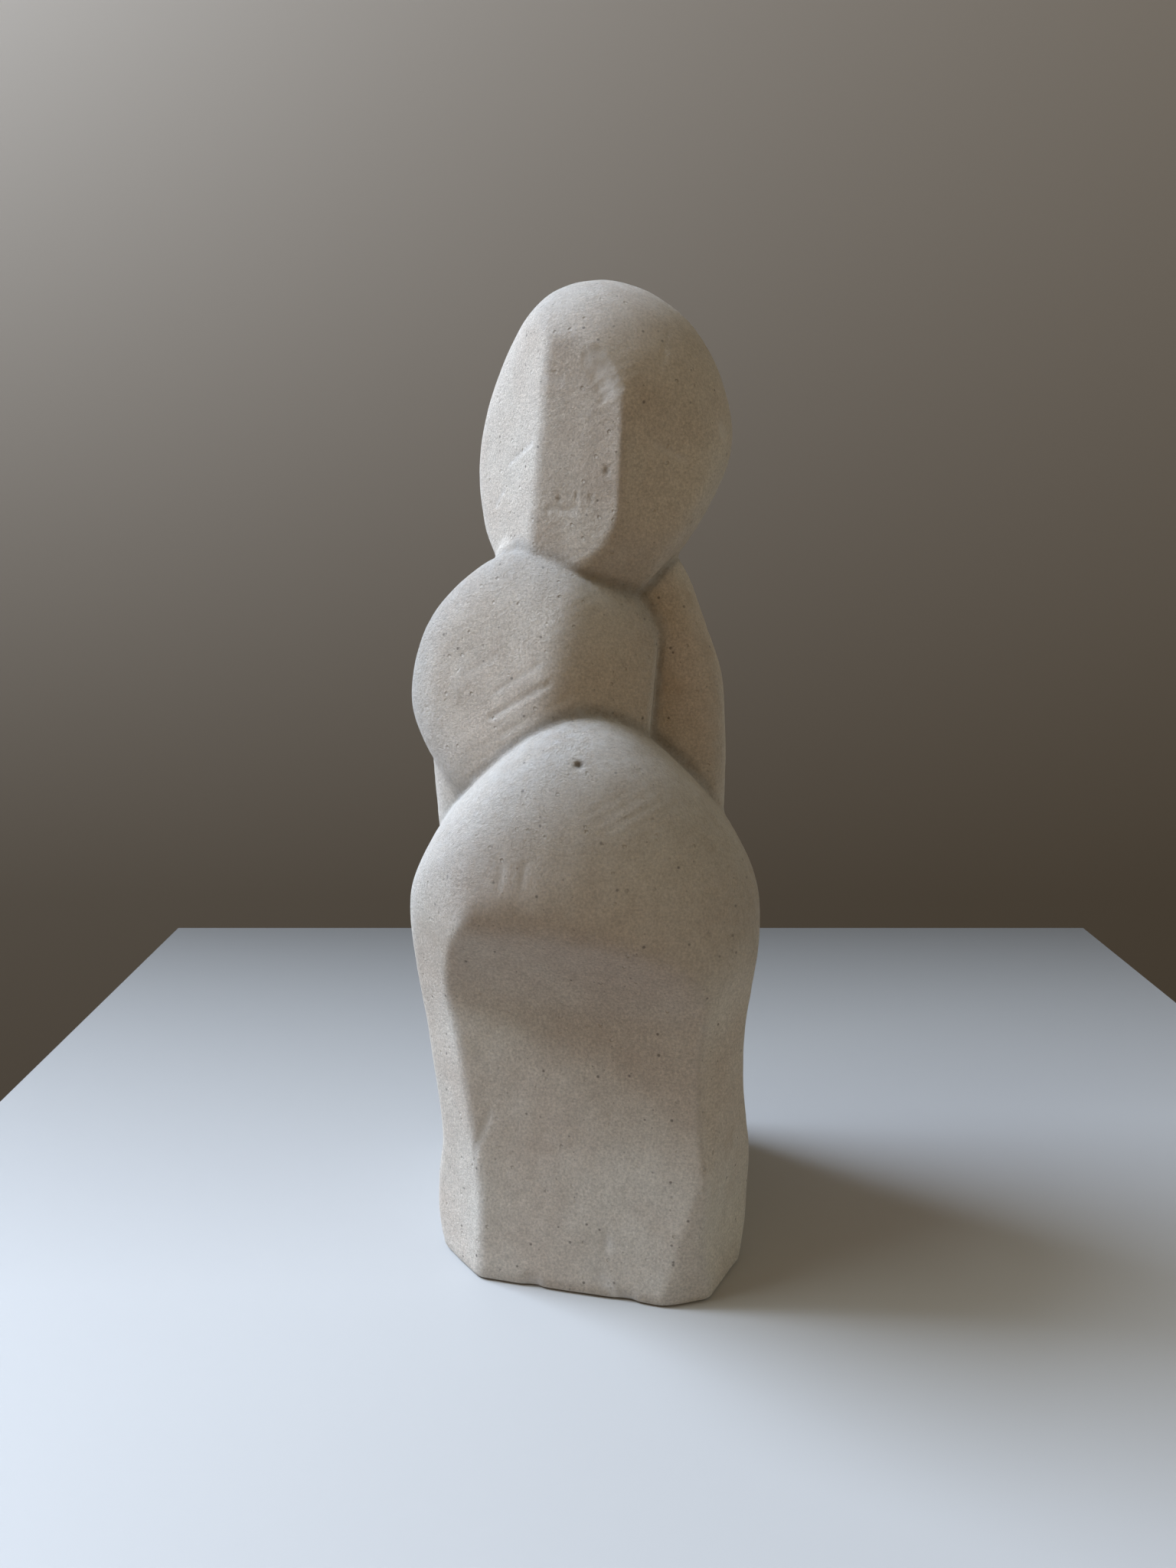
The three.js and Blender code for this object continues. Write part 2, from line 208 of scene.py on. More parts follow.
def knees(p):
    """Soft maximum of the shins and a pebble read at max(z, widest level), less a flaring skirt."""
    half = np.array([KNEE_SIZE[0] / 2, KNEE_SIZE[1] / 2, KNEE_SIZE[2] - KNEE_WIDEST])
    lifted = np.stack([p[..., 0], p[..., 1], np.maximum(p[..., 2], KNEE_WIDEST)], -1)
    dome = pebble(lifted, np.array([*KNEE_AXIS, KNEE_WIDEST]), half, DOME_FULLNESS, KNEE_FLATS)
    shins = column(p, SHIN_AXIS, KNEE_SIZE[2], SHIN_REACH, SHIN_LEVELS, SHIN_FACETS, CRISP_RIDGE)
    skirt = np.clip((KNEE_WIDEST - p[..., 2]) * SKIRT_FLARE, 0, SKIRT_REACH)
    return soft_max(shins, dome - skirt, KNEE_RIDGE)


# %% The breast
BREAST_FULLNESS = 2.2
BREAST_AXIS = (-15.0, -6.0)
BREAST_FLATS = [
    (-80, 50, np.array([-0.575, -0.22, 0.84]), SOFT_RIDGE),
    (-80, -32, np.array([-0.755, -0.22, -0.61]), SOFT_RIDGE),
    (-29, 11, np.array([0.09, -0.975, 0.04]), SOFT_RIDGE),
    (20, 2, np.array([0.273, -0.963, 0.04]), SOFT_RIDGE),
    (78, -4, np.array([0.805, -0.50, 0]), CRISP_RIDGE),
]


def breast(p):
    """A pebble with two flats that meet down its front, two that trim its left side and one its right."""
    return pebble(p, np.array([*BREAST_AXIS, BREAST_LEVEL]), BREAST_SIZE / 2, BREAST_FULLNESS, BREAST_FLATS)


# %% The head
HEAD_FULLNESS = 2.0
HEAD_AXIS = (4.0, 8.0)
HEAD_FLATS = [
    (-27, -1, np.array([0.145, -0.945, -0.055]), CRISP_RIDGE),
    (-60, 3, np.array([-0.465, -0.60, -0.055]), CRISP_RIDGE),
    (22, -3, np.array([0.145, -0.945, -0.02]), CRISP_RIDGE),
    (-90, 9.5, np.array([-0.95, 0.10, 0]), CRISP_RIDGE),
    (-90, -24, np.array([-1.01, 0.10, -0.222]), CRISP_RIDGE),
    (-86, 28, np.array([-0.705, 0.10, 0.64]), SOFT_RIDGE),
    (90, -31, np.array([0.84, 0.10, -0.252]), SOFT_RIDGE),
    (75, -39, np.array([0.26, -0.68, -0.77]), CRISP_RIDGE),
]


def head(p):
    """An ellipsoid with its crown at the figure's full height, cut by eight flats."""
    half = HEAD_SIZE / 2
    return pebble(p, np.array([*HEAD_AXIS, HEIGHT - half[2]]), half, HEAD_FULLNESS, HEAD_FLATS)


# %% The whole stone
CREASE_FILLET = 0.8
FOOT_RADIUS = 2.2


def stone(p):
    """Soft minimum of the four masses, drawn in by r - sqrt(r^2 - (r - z)^2) at the foot's edge."""
    joined = body(p)
    for mass in (breast, knees, head):
        joined = soft_min(joined, mass(p), CREASE_FILLET)
    below = np.maximum(FOOT_RADIUS - p[..., 2], 0)
    return joined + FOOT_RADIUS - np.sqrt(np.maximum(FOOT_RADIUS**2 - below**2, 0))


centre_of_head = np.array([*HEAD_AXIS, HEIGHT - HEAD_SIZE[2] / 2])
print("the middle of the head is", round(-float(stone(centre_of_head[None])[0])), "mm below the surface")

# %% [markdown]
# ## Finding the skin
#
# A distance is not yet a surface. One way to get one is to fill a volume and remesh it, which makes
# stair steps and an even, coarse grid. Here each vertex has its own ray instead. The rays start on an
# upright line inside the stone and fan round it. At the foot they are level, at the neck they climb at
# about 35 degrees so that they meet the creases squarely, and at the crown they point straight up. The
# grid of rays is the grid of vertices: one parameter goes round, the other goes up. More rays look to
# the front, where the carving is finest.

# %% A fan of rays
COLUMNS = 336
ROWS = 280
FRONT_CROWDING = 0.30
RAY_AXIS = (-1.0, -2.0)
RAY_PATH = np.array([0, 0.2, 0.5, 0.58, 0.74, 0.86, 1])
RAY_START = np.array([0, 0.323, 0.516, 0.589, 0.696, 0.797, 0.82])
RAY_TURN = np.array([0, 27.0, 34.0, 34.0, 35.0, 38.0, 90.0])
FOOT_ROWS = 5


def ray_fan():
    """Starts (axis, z(v)) and directions outward(u - k sin u, turn(v)), with u going round and v up."""
    round_u = 2 * np.pi * np.arange(COLUMNS) / COLUMNS
    azimuth = np.degrees(round_u - FRONT_CROWDING * np.sin(round_u))
    foot = FOOT_RADIUS * (1 - np.cos(np.linspace(0, np.pi / 2, FOOT_ROWS, endpoint=False)))
    up_v = FOOT_RADIUS / HEIGHT + (1 - FOOT_RADIUS / HEIGHT) * np.arange(ROWS) / ROWS
    level = np.concatenate([foot, HEIGHT * along(RAY_PATH, RAY_START, up_v)])
    turn = np.concatenate([0 * foot, along(RAY_PATH, RAY_TURN, up_v)])
    azimuth, turn = np.meshgrid(azimuth, turn)
    zero = 0 * azimuth
    starts = np.stack([zero + RAY_AXIS[0], zero + RAY_AXIS[1], zero + level[:, None]], -1)
    return starts, outward(azimuth, turn)


starts, directions = ray_fan()
print(starts.shape[0], "rows of", starts.shape[1], "rays")

# %% Where each ray leaves the stone
SEARCH_STEP = 1.5
HALVINGS = 14


def find_skin(starts, directions):
    """Steps along start + s * direction until stone() > 0, then halves the last step again and again."""
    inner = np.zeros(starts.shape[:-1])
    inside = np.ones(starts.shape[:-1], bool)
    while inside.any():
        ahead = starts[inside] + directions[inside] * (inner[inside] + SEARCH_STEP)[:, None]
        still = stone(ahead) <= 0
        inner[inside] += SEARCH_STEP * still
        inside[inside] = still
    step = np.full(inner.shape, SEARCH_STEP)
    for _ in range(HALVINGS):
        step = step / 2
        inner += step * (stone(starts + directions * (inner + step)[..., None]) <= 0)
    return starts + directions * inner[..., None]


smooth_skin = find_skin(starts, directions)
crown_start = np.array([[*RAY_AXIS, HEIGHT * RAY_START[-1]]])
smooth_crown = find_skin(crown_start, np.array([[0, 0, 1.0]]))
print("the skin is", round(float(np.ptp(smooth_skin[..., 0])), 1), "mm wide and",
      round(float(np.ptp(smooth_skin[..., 1])), 1), "mm deep")

# %% [markdown]
# ## Which way the skin looks
#
# The tool marks are cut straight into the surface, so we need its normal at every vertex. The slope of
# the distance is that normal, and comparing the distance a little to each side gives the slope.

# %% Normals from the slope of the distance
SLOPE_STEP = 0.4


def normals_of(p):
    """The slope ((f(p + e x) - f(p - e x)), ... in y and z) made one unit long."""
    steps = SLOPE_STEP * np.eye(3)
    slope = np.stack([stone(p + step) - stone(p - step) for step in steps], -1)
    return slope / np.linalg.norm(slope, axis=-1, keepdims=True)


skin_normals = normals_of(smooth_skin)

# %% [markdown]
# ## Hand-worked unevenness
#
# Stone that was rasped and rubbed by hand is never truly flat. Long shallow waves run over it, and the
# last rasp left faint parallel strokes that rise to the right. Both are made of sine waves in space, so
# they run on over the ridges and have no seams. They are real shape: the waves are a few tenths of a
# millimetre deep and the strokes a few hundredths. Anything finer than the grid comes later, as bump in
# the material.

# %% Waves and rasp strokes
rng = np.random.default_rng(41)


def waves(p, length, count):
    """Sum of count sines sin(k . p + phase) / sqrt(count), with 2 pi / |k| near the given length."""
    way = rng.normal(size=(count, 3))
    way *= (2 * np.pi / length / np.linalg.norm(way, axis=1) * rng.uniform(0.7, 1.4, count))[:, None]
    phase = rng.uniform(0, 2 * np.pi, count)
    return np.sin(p @ way.T + phase).sum(-1) / math.sqrt(count)


STROKE_RISE = 27
STROKE_SPACING = 3.4


def rasp_strokes(p):
    """sin((2 pi d + 0.35 y) / spacing + w1) * (0.4 + w2), d across the strokes, w1 and w2 slow waves."""
    rise = math.radians(STROKE_RISE)
    across = p[..., 2] * math.cos(rise) - p[..., 0] * math.sin(rise)
    bend = 1.6 * waves(p, 60, 5)
    fade = np.clip(0.4 + 0.6 * waves(p, 38, 6), 0, 1.4)
    return np.sin(2 * np.pi * across / STROKE_SPACING + 0.35 * p[..., 1] / STROKE_SPACING + bend) * fade


UNEVEN_DEPTH = 0.16
DIMPLE_DEPTH = 0.05
STROKE_DEPTH = 0.025
uneven = UNEVEN_DEPTH * waves(smooth_skin, 46, 9) + DIMPLE_DEPTH * waves(smooth_skin, 13, 14)
uneven += STROKE_DEPTH * rasp_strokes(smooth_skin)
print("the surface waves by", round(float(uneven.min()), 2), "to", round(float(uneven.max()), 2), "mm")

# %% [markdown]
# ## Scratches, gouges and chips
#
# Every mark is a groove round a short line: its depth fades with the distance to the line as
# exp(-(d / r)^2). A pit is a line of no length. The marks on the front are where the real carving has
# them: a patch of gouges on the brow, small pits down the front ridge, a chip at the head's right edge,
# a long scratch over the breast, a hole and a chip on the knees and a few nicks along the foot. The
# patch on the brow is made simpler here, with nine short strokes of a point chisel side by side. The
# sides and the back aren't seen, so the marks there are made up: they are scattered at random with a
# fixed seed, so that those parts are no plainer than stone is.

# %% How deep a mark goes
def groove(p, a, b, radius):
    """exp(-(d / r)^2), where d is the distance from p to the line from a to b."""
    line = b - a
    share = np.clip(((p - a) @ line) / max(line @ line, 1e-9), 0, 1)
    distance = np.linalg.norm(p - a - share[..., None] * line, axis=-1)
    return np.exp(-(distance / radius)**2)


# %% The marks on the front, in millimetres: line ends, radius, depth
# The gouges are nine strokes, each a little further left and higher than the last, a broad shallow dent
# in their middle and one stroke apart. A pit has one place and no line.
GOUGES = [
    ((5.0 - 0.85 * k, -25.0, 277.0 + 1.5 * k), (9.8 - 0.85 * k, -26.0, 280.0 + 1.5 * k), 0.70, 0.30)
    for k in range(9)
] + [
    ((3.6, -25.6, 286.5), (5.6, -26.5, 282.5), 3.0, 0.25),
    ((-14.0, -18.0, 284.0), (-8.0, -20.0, 283.0), 0.9, 0.20),
]
PITS = [
    ((5.5, -26.4, 256.7), 1.0, 0.45), ((-8.9, -18.9, 248.7), 0.8, 0.35), ((-3.5, -21.7, 249.3), 0.7, 0.30),
    ((0.7, -23.8, 248.6), 0.8, 0.32), ((24.0, -16.5, 297.5), 0.7, 0.25), ((33.4, -10.8, 294.5), 0.7, 0.25),
    ((22.4, -23.9, 259.2), 0.7, 0.25), ((-2.5, -45.4, 169.6), 1.1, 1.00), ((14.3, -58.9, 136.3), 0.6, 0.22),
    ((5.5, -57.0, 112.4), 0.6, 0.22), ((8.2, -56.2, 109.9), 0.6, 0.22), ((5.8, -53.6, 106.2), 0.6, 0.22),
    ((-4.2, -52.0, 107.8), 0.6, 0.22), ((34.5, -54.2, 122.9), 0.7, 0.25),
]
CHIPS = [
    ((42.8, -11.4, 269.9), (43.0, -9.0, 268.0), 1.8, 0.70),
    ((31.0, -30.0, 163.5), (34.0, -28.0, 160.5), 1.9, 0.55),
    ((5.6, -54.5, 19.5), (6.2, -54.7, 17.6), 1.4, 0.45),
    ((-19.1, -50.2, 1.6), (-17.0, -50.8, 1.2), 1.7, 0.90),
    ((10.7, -57.3, 1.2), (13.5, -57.6, 1.0), 1.6, 0.80),
    ((3.9, -55.3, 7.0), (7.8, -56.7, 2.2), 1.7, 0.35),
]
SCRATCHES = [
    ((-17.4, -12.2, 265.5), (-24.9, 0.1, 260.0), 0.8, 0.28),
    ((-27.2, 3.2, 251.8), (-31.0, 6.5, 247.5), 0.8, 0.25),
    ((20.2, -25.0, 264.0), (30.0, -20.8, 259.4), 0.9, 0.30),
    ((23.3, -20.0, 292.7), (22.3, -23.2, 286.9), 0.8, 0.25),
    ((-12.2, -17.1, 245.5), (-3.9, -21.4, 245.2), 0.8, 0.30),
    ((-31.3, -24.7, 182.4), (-12.2, -29.5, 193.3), 0.9, 0.34),
    ((-30.5, -24.1, 190.0), (-15.9, -28.2, 198.8), 1.0, 0.16),
    ((-26.9, -26.8, 177.2), (-5.4, -29.7, 189.6), 1.1, 0.18),
    ((-40.5, -18.6, 195.3), (-30.4, -22.3, 201.0), 1.0, 0.14),
    ((-24.3, -54.7, 142.7), (-25.2, -56.1, 136.6), 0.8, 0.22),
    ((-17.9, -56.4, 143.7), (-18.8, -57.8, 138.1), 0.8, 0.22),
    ((-31.6, -41.8, 56.4), (-36.4, -41.0, 43.3), 0.9, 0.34),
]

# %% Marks at random elsewhere
SCATTERED = 110


def scattered_marks(skin, normals):
    """Pairs (a, a + w), a on the skin and w a short vector along it, w = s (t - (t . n) n)."""
    hidden = np.argwhere(normals[..., 1] > -0.25)
    picks = hidden[rng.choice(len(hidden), SCATTERED, replace=False)]
    a = skin[picks[:, 0], picks[:, 1]]
    n = normals[picks[:, 0], picks[:, 1]]
    way = rng.normal(size=(SCATTERED, 3)) * (0.5, 0.5, 0.25)
    way -= (way * n).sum(-1, keepdims=True) * n
    length = rng.choice([0.2, 2.5, 9.0], SCATTERED, p=[0.6, 0.28, 0.12])
    radius = rng.uniform(0.9, 1.5, SCATTERED)
    depth = rng.uniform(0.12, 0.42, SCATTERED)
    return a, a + way * length[:, None], radius, depth


# %% Cut the marks
def on_skin(at):
    """at - ((at - v) . n) n, where v is the nearest vertex of the skin and n its normal: no mark floats."""
    nearest = np.unravel_index(np.argmin(np.sum((smooth_skin - at)**2, axis=-1)), smooth_skin.shape[:2])
    v, n = smooth_skin[nearest], skin_normals[nearest]
    return at - ((at - v) @ n) * n


def cut_marks(p):
    """Three sums of depth * groove: the pits, every other mark, and all of them together."""
    pits = sum(depth * groove(p, on_skin(at), on_skin(at), radius) for at, radius, depth in PITS)
    opened = sum(
        depth * groove(p, on_skin(a), on_skin(b), radius)
        for a, b, radius, depth in GOUGES + CHIPS + SCRATCHES
    )
    for a, b, radius, depth in zip(*scattered_marks(smooth_skin, skin_normals)):
        opened = opened + depth * groove(p, a, b, radius)
    return pits, opened, pits + opened


pits, opened, mark_depth = cut_marks(smooth_skin)
carved_skin = smooth_skin + skin_normals * (uneven - mark_depth)[..., None]
carved_skin[0] = smooth_skin[0]
carved_skin[..., 2] = np.maximum(carved_skin[..., 2], 0)
print("the deepest mark is", round(float(mark_depth.max()), 2), "mm")

# %% [markdown]
# ## Where the stone is fresh, worn or dusty
#
# The colour follows the carving: ridges are rubbed paler, creases keep pale dust, fresh cuts are whiter
# and the deep pits are painted dark with shade, and there are four faint brown stains on the right. Each
# of these is a number at every vertex, which the material reads by name. To tell a ridge from a crease we
# look a little way into the stone and a little way out of it. Under a flat the distance changes exactly as
# fast as we move. Inside a ridge, or outside a crease, it is less.

# %% Ridges and creases
PROBE = 3.5
RIDGE_SPAN = 0.3
CREASE_SPAN = 0.5
STAINS = [
    ((32.2, -8.5, 219.8), 4.5), ((38.2, -13.2, 202.0), 3.8),
    ((26.8, -22.5, 191.0), 2.8), ((44.7, -46.6, 49.9), 3.8),
]


def ridge_and_crease(p, normals):
    """Crease (d - f(p + d n)) / 0.5 d and ridge (f(p - d n) + d) / 0.3 d, less where there is crease."""
    crease = np.clip((PROBE - stone(p + PROBE * normals)) / (CREASE_SPAN * PROBE), 0, 1)
    ridge = np.clip((stone(p - PROBE * normals) + PROBE) / (RIDGE_SPAN * PROBE), 0, 1)
    return ridge * (1 - crease), crease


ridge, crease = ridge_and_crease(smooth_skin, skin_normals)
stained = sum(groove(smooth_skin, on_skin(at), on_skin(at), radius) for at, radius in STAINS)
FRESH_DEPTH = 0.30
# A pit this deep is painted fully dark with shade, and shallower ones less.
PIT_DEPTH = 0.55
fresh = np.clip(opened / FRESH_DEPTH, 0, 1)
pit_shade = np.clip(pits / PIT_DEPTH, 0, 1)
print("ridges cover", round(100 * float((ridge > 0.5).mean()), 1), "% of the skin and creases",
      round(100 * float((crease > 0.5).mean()), 1), "%")

# %% [markdown]
# ## One closed mesh
#
# The grid closes on itself round the figure. Below, three more rings run in over the flat underside to
# one vertex in its middle, and above, the last ring closes on the crown. The origin is under the middle
# of the carving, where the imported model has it, so the whole grid is moved there before it becomes
# metres. Four corners taken round and then up make every face look outwards.

# %% Close the grid
UNDERSIDE_SHARES = np.array([0.25, 0.5, 0.75])
foot_middle = np.array([*RAY_AXIS, 0.0])
underside = foot_middle + UNDERSIDE_SHARES[:, None, None] * (carved_skin[0] - foot_middle)
grid = np.concatenate([underside, carved_skin])
footprint_middle = np.zeros(3)
footprint_middle[:2] = (smooth_skin[..., :2].max((0, 1)) + smooth_skin[..., :2].min((0, 1))) / 2
MM = 0.001
points = np.concatenate([grid.reshape(-1, 3), foot_middle[None], smooth_crown]) - footprint_middle
points *= MM


def grid_faces(rows, columns):
    """Quads (r, c), (r, c+1), (r+1, c+1), (r+1, c), with c+1 taken round, and a fan at each end."""
    index = np.arange(rows * columns).reshape(rows, columns)
    beside = np.roll(index, -1, axis=1)
    quads = np.stack([index[:-1], beside[:-1], beside[1:], index[1:]], -1).reshape(-1, 4)
    low, high = rows * columns, rows * columns + 1
    fans = np.concatenate([
        np.stack([beside[0], index[0], np.full(columns, low)], -1),
        np.stack([index[-1], beside[-1], np.full(columns, high)], -1),
    ])
    return quads.tolist() + fans.tolist()


faces = grid_faces(*grid.shape[:2])
mesh = bpy.data.meshes.new("stone_carving")
mesh.from_pydata(points.tolist(), [], faces)
mesh.polygons.foreach_set("use_smooth", np.ones(len(mesh.polygons), bool))
mesh.update()
carving = bpy.data.objects.new("stone_carving", mesh)
bpy.context.scene.collection.objects.link(carving)
print("the carving has", len(mesh.vertices), "vertices and", 2 * len(faces) - 2 * COLUMNS, "triangles")


# %% Keep the finish and the pits' painted shade as numbers on the mesh
def keep_on_vertices(name, values):
    """Writes values of the skin to a point attribute, with 0 on the underside and at the two poles."""
    listed = np.concatenate([np.zeros(underside[..., 0].size), values.ravel(), [0, 0]])
    mesh.attributes.new(name, "FLOAT", "POINT").data.foreach_set("value", listed.astype(np.float32))


# The pits' layer is painted shade; ridge, crease, fresh and stained are the stone's own finish.
FINISH_AND_PIT_SHADE = {"ridge": ridge, "crease": crease, "fresh": fresh, "pit_shade": pit_shade, "stained": stained}
for name, values in FINISH_AND_PIT_SHADE.items():
    keep_on_vertices(name, values)
print("kept on the mesh:", [a.name for a in mesh.attributes if a.data_type == "FLOAT"])

# %% [markdown]
# ## The stone
#
# The stone is pale, dry and fine-grained. From a step away it is one colour, but close to it has cloudy
# patches, sandy grain, dark specks, tiny holes and a few faint brown stains. An image could hold all of
# this, but noise worked out from the object's own coordinates has no seams and is sharp at any distance.
# First come three helpers that keep the wiring short.

# %% Helpers for nodes
def node(tree, kind, sockets=None, **settings):
    """A new shader node. A socket is given either a plain value or another node's output."""
    made = tree.nodes.new("ShaderNode" + kind)
    for name, value in settings.items():
        setattr(made, name, value)
    for name, value in (sockets or {}).items():
        if isinstance(value, bpy.types.NodeSocket):
            tree.links.new(value, made.inputs[name])
        else:
            made.inputs[name].default_value = value
    return made


def blend(tree, share, a, b, how="MIX"):
    """The colour a (1 - share) + b share, or a times b where how is MULTIPLY."""
    sockets = {0: share, 6: a, 7: b}
    return node(tree, "Mix", sockets, data_type="RGBA", blend_type=how).outputs[2]


def remap(tree, value, low, high, to_low=0.0, to_high=1.0):
    """Takes low..high to to_low..to_high in a straight line and stays there beyond both ends."""
    sockets = {"Value": value, "From Min": low, "From Max": high, "To Min": to_low, "To Max": to_high}
    return node(tree, "MapRange", sockets).outputs[0]


def times(tree, a, b):
    """a * b."""
    return node(tree, "Math", {0: a, 1: b}, operation="MULTIPLY").outputs[0]


# %% Noise of a given size
def noise(tree, coordinates, size, detail=3.0, roughness=0.55):
    """Noise between 0 and 1 whose patches are about size metres across."""
    sockets = {"Vector": coordinates, "Scale": 1 / size, "Detail": detail, "Roughness": roughness}
    return node(tree, "TexNoise", sockets).outputs["Fac"]


def spots(tree, coordinates, spacing, radius, kept):
    """Round spots: 1 within radius of a Voronoi cell's point, in the share of cells that are kept."""
    cells = node(tree, "TexVoronoi", {"Vector": coordinates, "Scale": 1 / spacing})
    near = remap(tree, cells.outputs["Distance"], radius / spacing, 0.55 * radius / spacing)
    chance = node(tree, "SeparateColor", {"Color": cells.outputs["Color"]}).outputs[0]
    chosen = node(tree, "Math", {0: chance, 1: kept}, operation="LESS_THAN").outputs[0]
    return times(tree, near, chosen)


# %% [markdown]
# ## Colour of the stone
#
# The layers go on in the order in which they came to the real piece: the stone's own cloudy colour and
# grain, the specks in it, then the stains of age, then what the carver's tools and hands left. Fresh
# cuts, dust in the creases and rubbed ridges are all paler than the rest. Last, painted shade darkens
# the deep pits.

# %% Layers of colour
CLOUD_SIZE = 0.045
MOTTLE_SIZE = 0.005
GRAIN_SIZE = 0.0008
STAIN_SIZE = 0.060
DUST_SIZE = 0.0035
# Each kind of speck: spacing and radius in metres, the share of places that have one, and its strength.
SPECKS = [(0.0045, 0.00060, 0.35, 0.75), (0.0030, 0.00035, 0.35, 0.50)]
STONE_LIGHT = (0.670, 0.632, 0.565, 1)
STONE_DEEP = (0.585, 0.515, 0.442, 1)
SPECK_COLOUR = (0.150, 0.130, 0.110, 1)
STAIN_COLOUR = (0.420, 0.325, 0.230, 1)
DUST_COLOUR = (0.760, 0.745, 0.715, 1)
# Painted shade for the inside of the deep pits.
PIT_SHADE_COLOUR = (0.100, 0.085, 0.070, 1)
RAGGED_LAYERS = [("stained", 0.75, STAIN_COLOUR), ("crease", 0.70, DUST_COLOUR)]
# The last even layer paints shade into the pits.
EVEN_LAYERS = [("ridge", 0.30, DUST_COLOUR), ("fresh", 0.45, DUST_COLOUR), ("pit_shade", 0.55, PIT_SHADE_COLOUR)]


def stone_colour(tree, coordinates, kept):
    """Cloud, grain, specks, stains, dust and painted shade in the pits, one over the other."""
    cloud = remap(tree, noise(tree, coordinates, CLOUD_SIZE), 0.35, 0.68)
    colour = blend(tree, cloud, STONE_DEEP, STONE_LIGHT)
    mottle = remap(tree, noise(tree, coordinates, MOTTLE_SIZE, 4), 0.25, 0.75, 0.93, 1.07)
    grain = remap(tree, noise(tree, coordinates, GRAIN_SIZE, 2, 0.7), 0.30, 0.70, 0.78, 1.18)
    tone = times(tree, mottle, grain)
    shade = node(tree, "CombineColor", {0: tone, 1: tone, 2: tone}).outputs[0]
    colour = blend(tree, 1.0, colour, shade, "MULTIPLY")
    for spacing, radius, chance, strength in SPECKS:
        dark = times(tree, spots(tree, coordinates, spacing, radius, chance), strength)
        colour = blend(tree, dark, colour, SPECK_COLOUR)
    stains = remap(tree, noise(tree, coordinates, STAIN_SIZE, 5, 0.62), 0.60, 0.78, 0.0, 0.42)
    colour = blend(tree, stains, colour, STAIN_COLOUR)
    ragged = remap(tree, noise(tree, coordinates, DUST_SIZE, 4), 0.35, 0.65)
    for name, strength, over in RAGGED_LAYERS:
        share = times(tree, times(tree, kept[name], ragged), strength)
        colour = blend(tree, share, colour, over)
    for name, strength, over in EVEN_LAYERS:
        colour = blend(tree, times(tree, kept[name], strength), colour, over)
    return colour


# %% [markdown]
# ## Relief finer than the mesh
#
# Bump nodes tilt the shading without moving the surface, which suits anything under about a millimetre.
# There are four layers: sandy grain, open pores, the faint strokes of the last rasp, which are noise
# stretched along one direction, and larger soft dents. Each Bump takes the last one's normal, and its
# distance is in metres.

# %% Layers of bump
DENT_SIZE = 0.0090
SCORE_SIZE = 0.0010
SCORE_SCALE = (0.16, 0.35, 1)
ROUGH_SIZE = 0.0015
PORES = (0.0040, 0.00065, 0.45)
ROUGHNESS_SIZE = 0.010


def stone_normal(tree, coordinates, kept):
    """Dents, strokes, grain and pores added to the surface's own normal, one after the other."""
    turn = (0, math.radians(STROKE_RISE), 0)
    stretched = node(tree, "Mapping", {"Vector": coordinates, "Rotation": turn, "Scale": SCORE_SCALE})
    rough = node(tree, "Math", {0: kept["crease"], 1: 0.5, 2: 0.5}, operation="MULTIPLY_ADD").outputs[0]
    layers = [
        (noise(tree, coordinates, DENT_SIZE, 1), 0.30, 0.00040),
        (noise(tree, stretched.outputs[0], SCORE_SIZE, 2), 0.35, 0.00022),
        (noise(tree, coordinates, ROUGH_SIZE, 6, 0.85), times(tree, rough, 1.4), 0.00120),
    ]
    normal = None
    for height, strength, depth in layers:
        sockets = {"Height": height, "Strength": strength, "Distance": depth}
        if normal:
            sockets["Normal"] = normal
        normal = node(tree, "Bump", sockets).outputs[0]
    pores = spots(tree, coordinates, *PORES)
    sockets = {"Height": pores, "Strength": 0.8, "Distance": 0.00035, "Normal": normal}
    return node(tree, "Bump", sockets, invert=True).outputs[0]


# %% Put the stone's material together
def make_stone():
    """A matt shader whose colour, roughness and normal come from the layers above."""
    material = bpy.data.materials.new("rubbed_stone")
    material.use_nodes = True
    tree = material.node_tree
    tree.nodes.clear()
    coordinates = node(tree, "TexCoord").outputs["Object"]
    kept = {
        name: node(tree, "Attribute", attribute_name=name).outputs["Fac"]
        for name in FINISH_AND_PIT_SHADE
    }
    shader = node(tree, "BsdfPrincipled", {
        "Base Color": stone_colour(tree, coordinates, kept),
        "Roughness": remap(tree, noise(tree, coordinates, ROUGHNESS_SIZE), 0.3, 0.7, 0.80, 0.95),
        "Normal": stone_normal(tree, coordinates, kept),
        "Specular IOR Level": 0.30,
    })
    node(tree, "OutputMaterial", {"Surface": shader.outputs[0]})
    return material


carving.data.materials.append(make_stone())
print("the stone's material has", len(carving.data.materials[0].node_tree.nodes), "nodes")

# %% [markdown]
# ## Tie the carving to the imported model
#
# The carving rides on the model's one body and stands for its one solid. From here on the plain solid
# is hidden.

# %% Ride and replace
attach(carving, "root")
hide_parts("figure")

# %% [markdown]
# ## Floor and backdrop
#
# The figure stands on a pale board that ends 24 cm behind it, and beyond it is a plain warm backdrop.
# The board is painted with shade that darkens it evenly towards its back, and the backdrop is painted
# with shade that is deepest low down and lightens upwards. Neither is part of the object. The board's
# light surface matters: it throws light back up on to the shins.

